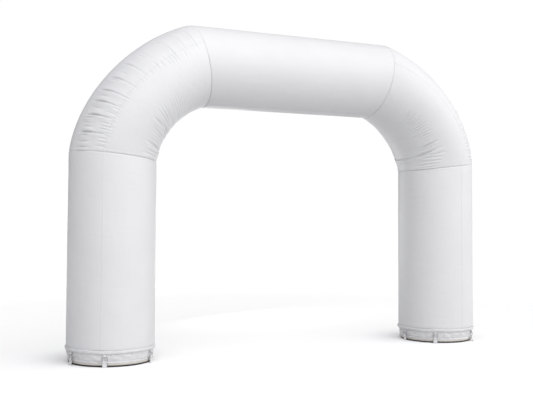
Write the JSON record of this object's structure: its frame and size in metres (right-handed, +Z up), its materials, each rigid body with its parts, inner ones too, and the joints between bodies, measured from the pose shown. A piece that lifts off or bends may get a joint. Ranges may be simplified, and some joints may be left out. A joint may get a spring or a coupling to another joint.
{
  "type": "inflatable arch",
  "caption": "Walk-through inflatable arch of plain white coated cloth: round legs, creased curved bends, a level beam and feet with rings and webbing straps.",
  "frame": {"origin": "on the floor, midway between the two feet, under the middle of the beam", "axes": "+Z up, +X across the arch from one leg to the other, -Y out of the front face"},
  "size_m": [5.5411, 1.1398, 3.9436],
  "materials": {
    "fabric": "plain white coated polyester, satin, with fine puckers along its seams",
    "welt": "white coated polyester, folded and padded",
    "edge": "cream edge cloth, rolled under and stitched",
    "base": "dark coated base cloth, matt",
    "webbing": "white polyester webbing, ribbed",
    "steel": "plated round wire, welded"
  },
  "bodies": {
    "root": {"base_left": "base", "base_right": "base", "beam": "fabric", "bend_left": "fabric", "bend_right": "fabric", "edge_left": "edge", "edge_right": "edge", "hanger_left_1": "webbing", "hanger_left_2": "webbing", "hanger_left_3": "webbing", "hanger_left_4": "webbing", "hanger_left_5": "webbing", "hanger_left_6": "webbing", "hanger_right_1": "webbing", "hanger_right_2": "webbing", "hanger_right_3": "webbing", "hanger_right_4": "webbing", "hanger_right_5": "webbing", "hanger_right_6": "webbing", "leg_left": "fabric", "leg_right": "fabric", "ring_left_1": "steel", "ring_left_2": "steel", "ring_left_3": "steel", "ring_left_4": "steel", "ring_left_5": "steel", "ring_left_6": "steel", "ring_right_1": "steel", "ring_right_2": "steel", "ring_right_3": "steel", "ring_right_4": "steel", "ring_right_5": "steel", "ring_right_6": "steel", "skirt_left": "fabric", "skirt_right": "fabric", "strap_left_1": "webbing", "strap_left_2": "webbing", "strap_left_3": "webbing", "strap_left_4": "webbing", "strap_left_5": "webbing", "strap_left_6": "webbing", "strap_right_1": "webbing", "strap_right_2": "webbing", "strap_right_3": "webbing", "strap_right_4": "webbing", "strap_right_5": "webbing", "strap_right_6": "webbing", "welt_left": "welt", "welt_right": "welt"}
  },
  "joints": []
}
